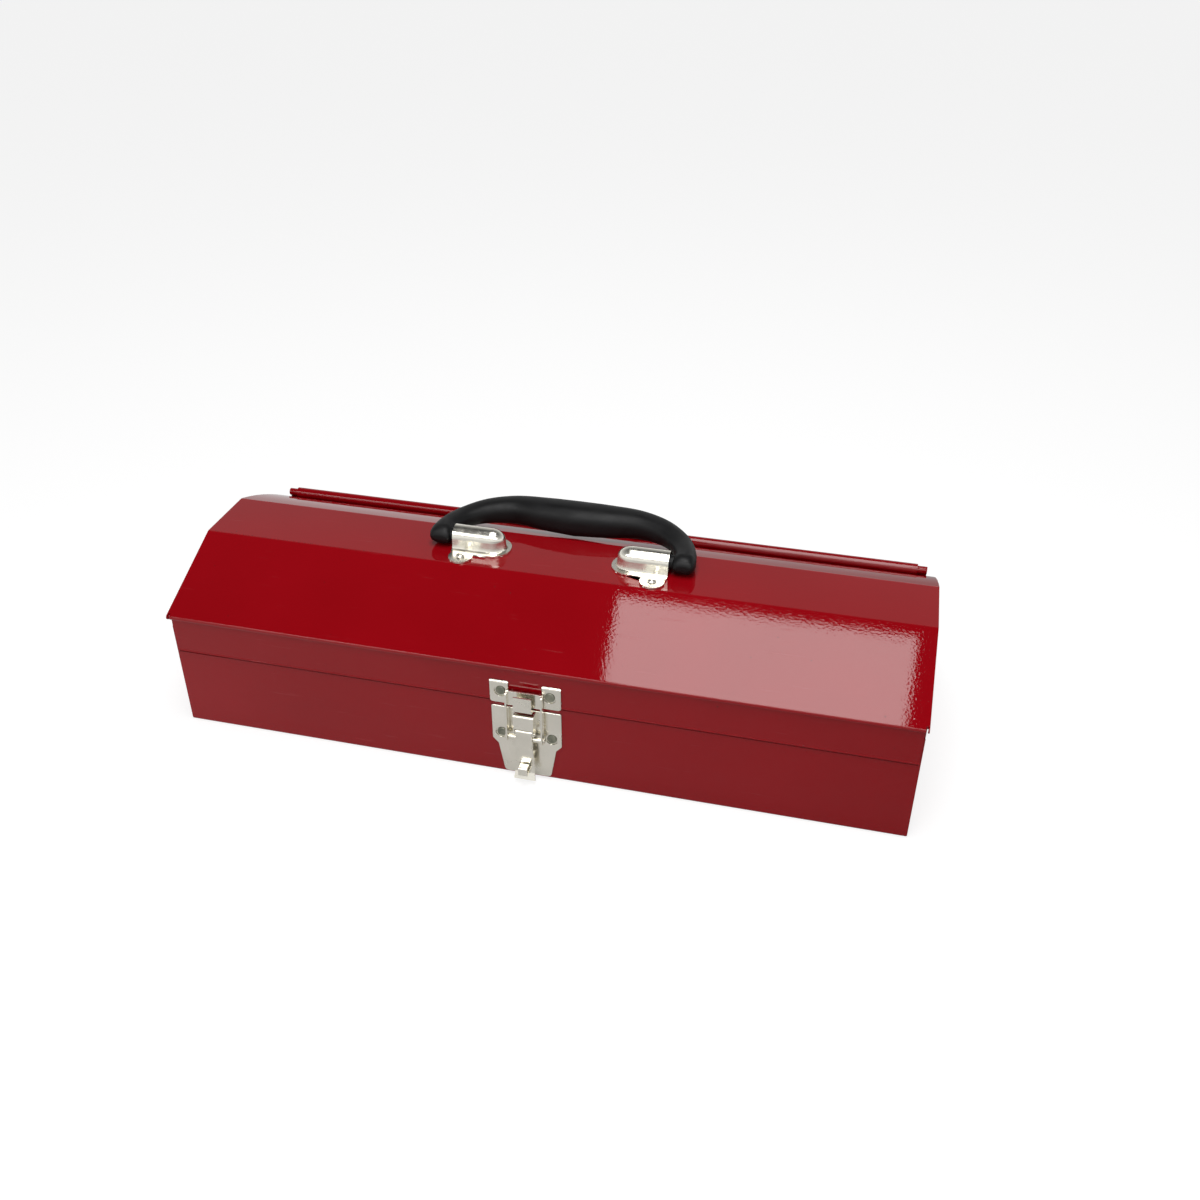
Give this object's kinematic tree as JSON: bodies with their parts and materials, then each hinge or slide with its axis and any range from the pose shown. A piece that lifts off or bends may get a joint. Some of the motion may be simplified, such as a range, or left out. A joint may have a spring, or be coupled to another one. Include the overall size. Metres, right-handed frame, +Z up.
{
  "type": "toolbox with tray",
  "caption": "Closed steel hip-roof toolbox with hinged lid, front draw latch, folding carry handle and lift-out tray.",
  "frame": {"origin": "middle of the flat underside of the base, on the surface that the box stands on", "axes": "+Z up, -Y towards the latch at the front, +X along the length to the right as seen from the front"},
  "size_m": [0.485, 0.188, 0.1337],
  "materials": {
    "red_paint": "gloss red enamel with light orange peel",
    "nickel": "bright nickel plate with fine wear",
    "black_moulding": "matt black moulding with a fine texture",
    "zinc_wire": "zinc plated"
  },
  "bodies": {
    "base": {"base_shell": "red_paint", "end_plate_left": "red_paint", "end_plate_right": "red_paint", "tray_ledge_left": "red_paint", "tray_ledge_right": "red_paint", "latch_base_plate": "nickel", "padlock_staple": "nickel", "latch_hinge_pin": "nickel", "latch_rivet_left": "nickel", "latch_rivet_right": "nickel"},
    "lid": {"lid_shell": "red_paint", "keeper_plate": "nickel", "keeper_rivet_left": "nickel", "keeper_rivet_right": "nickel", "handle_bracket_left": "nickel", "handle_bracket_right": "nickel", "bracket_rivet_left_front": "nickel", "bracket_rivet_right_front": "nickel", "bracket_rivet_left_rear": "nickel", "bracket_rivet_right_rear": "nickel"},
    "handle": {"handle_grip": "black_moulding"},
    "lever": {"latch_lever": "nickel", "bail_pin_left": "nickel", "bail_pin_right": "nickel"},
    "bail": {"latch_bail": "nickel"},
    "tray": {"tray_pan": "red_paint", "tray_handle_clip_left": "zinc_wire", "tray_handle_clip_right": "zinc_wire"},
    "tray_bow": {"tray_handle": "zinc_wire"}
  },
  "joints": [
    {"name": "lid_hinge", "type": "hinge", "parent": "base", "child": "lid", "pos_m": [0, 0.0856, 0.0894], "axis": [-1, 0, 0], "range_deg": [0, 105]},
    {"name": "handle_fold", "type": "hinge", "parent": "lid", "child": "handle", "pos_m": [0, 0, 0.1225], "axis": [1, 0, 0], "range_deg": [0, 180]},
    {"name": "lever_pivot", "type": "hinge", "parent": "base", "child": "lever", "pos_m": [0, -0.0926, 0.0403], "axis": [-1, 0, 0], "range_deg": [0, 120]},
    {"name": "bail_swing", "type": "hinge", "parent": "lever", "child": "bail", "pos_m": [0, -0.0912, 0.0349], "axis": [-1, 0, 0], "range_deg": [-120, 0]},
    {"name": "tray_lift", "type": "slide", "parent": "base", "child": "tray", "axis": [0, 0, 1], "range_m": [0, 0.075]},
    {"name": "tray_handle_fold", "type": "hinge", "parent": "tray", "child": "tray_bow", "pos_m": [0, -0.0015, 0.0465], "axis": [1, 0, 0], "range_deg": [0, 90]}
  ],
  "couplings": [
    {"joint": "bail_swing", "follows": "lever_pivot", "ratio": -0.91},
    {"joint": "tray_lift", "follows": "lid_hinge", "m_per_rad": 0.0405}
  ]
}
